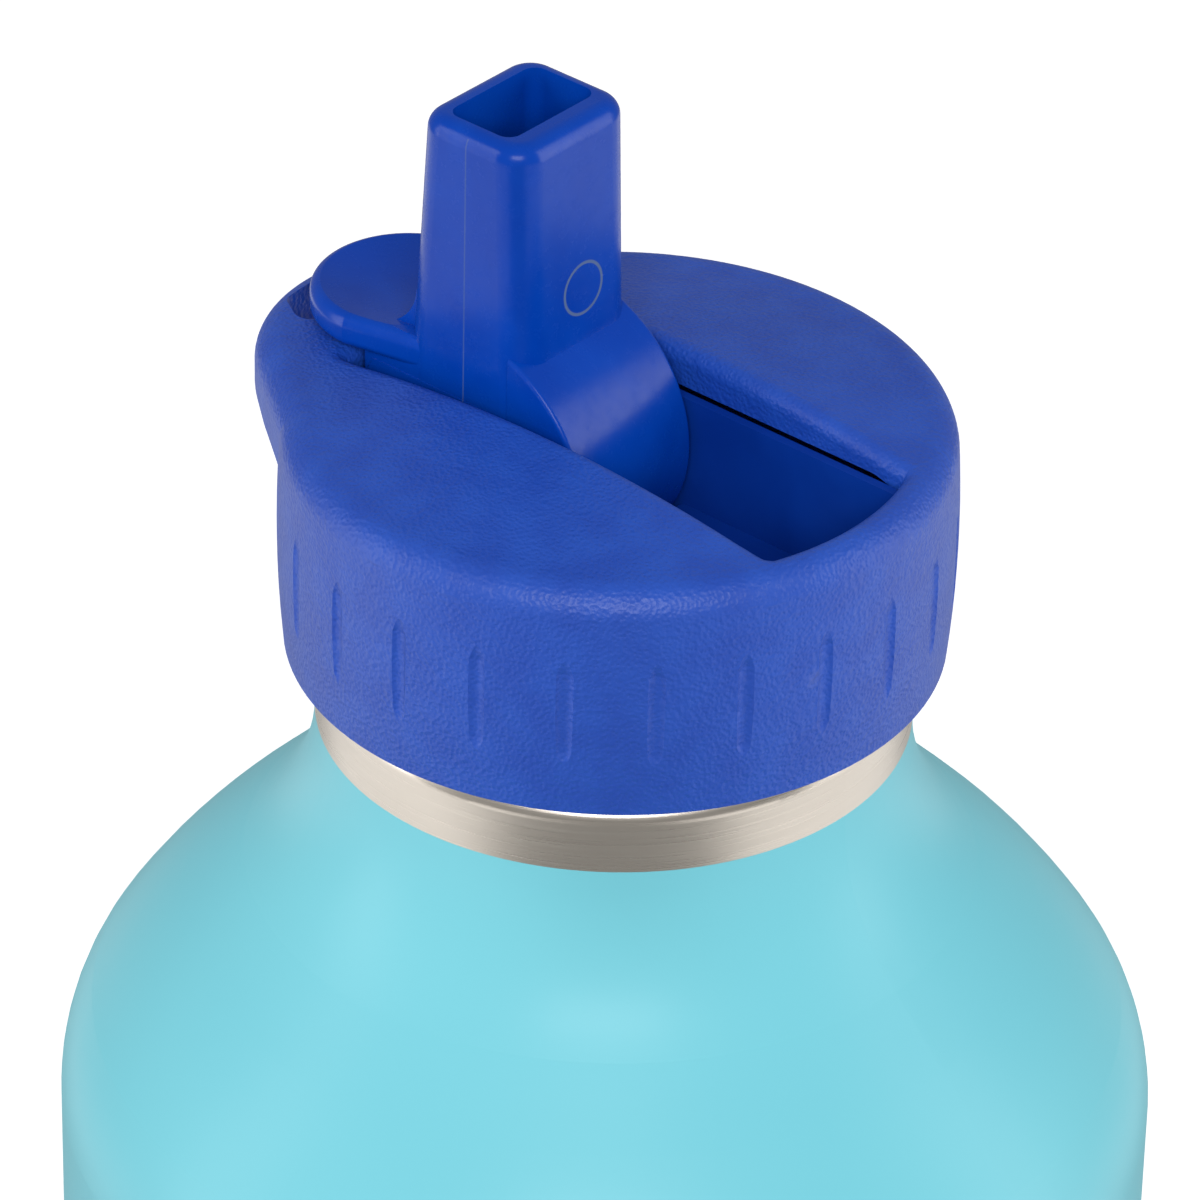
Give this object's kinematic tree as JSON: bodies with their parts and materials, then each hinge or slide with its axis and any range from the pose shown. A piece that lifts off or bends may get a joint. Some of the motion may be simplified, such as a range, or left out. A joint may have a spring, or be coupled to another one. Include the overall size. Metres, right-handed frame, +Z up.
{
  "type": "insulated water bottle",
  "caption": "Double-wall steel bottle with a painted body, bare steel neck and a blue screw lid that carries a loop and a flip-up spout with thumb tab and straw.",
  "frame": {"origin": "centre of the foot, on the resting surface and on the bottle's axis", "axes": "+Z up along the bottle's axis, +X the way the spout folds down, the thumb tab and carry loop towards -X, +Y along the spout's pivot"},
  "size_m": [0.09, 0.09, 0.2511],
  "materials": {
    "body_paint": "satin aqua coating",
    "neck_steel": "turned and brushed bare steel",
    "inner_steel": "satin electropolished steel",
    "base_steel": "spun and brushed steel",
    "wrap_foil": "bright crinkled foil",
    "getter_metal": "dull sintered metal",
    "clip_steel": "stamped strip",
    "seal_glass": "dark solder glass",
    "cap_blue": "fine pebble-textured polypropylene",
    "core_blue": "smooth satin polypropylene",
    "spout_blue": "polished polypropylene",
    "seal_silicone": "translucent white silicone",
    "valve_silicone": "soft translucent silicone",
    "straw_clear": "frosted clear tube"
  },
  "bodies": {
    "bottle": {"outer_shell": "body_paint", "neck_ring": "neck_steel", "inner_vessel": "inner_steel", "inner_base": "inner_steel", "foil_wrap": "wrap_foil", "getter_pill": "getter_metal", "getter_clip": "clip_steel", "outer_base": "base_steel", "evacuation_seal": "seal_glass", "base_plate": "base_steel"},
    "gasket": {"lid_gasket": "seal_silicone"},
    "lid": {"cap_shell": "cap_blue", "lid_core": "core_blue", "seat_seal": "seal_silicone", "vent_valve": "valve_silicone", "straw": "straw_clear"},
    "spout": {"spout": "spout_blue"}
  },
  "joints": [
    {"name": "lid_rise", "type": "slide", "parent": "bottle", "child": "gasket", "axis": [0, 0, 1], "range_m": [0, 0.006]},
    {"name": "lid_turn", "type": "hinge", "parent": "gasket", "child": "lid", "pos_m": [0, 0, 0.2136], "axis": [0, 0, 1], "range_deg": [0, 720]},
    {"name": "spout_flip", "type": "hinge", "parent": "lid", "child": "spout", "pos_m": [-0.01, 0, 0.2216], "axis": [0, 1, 0], "range_deg": [0, 90]}
  ],
  "couplings": [
    {"joint": "lid_rise", "follows": "lid_turn", "m_per_rad": 0.00047746}
  ]
}
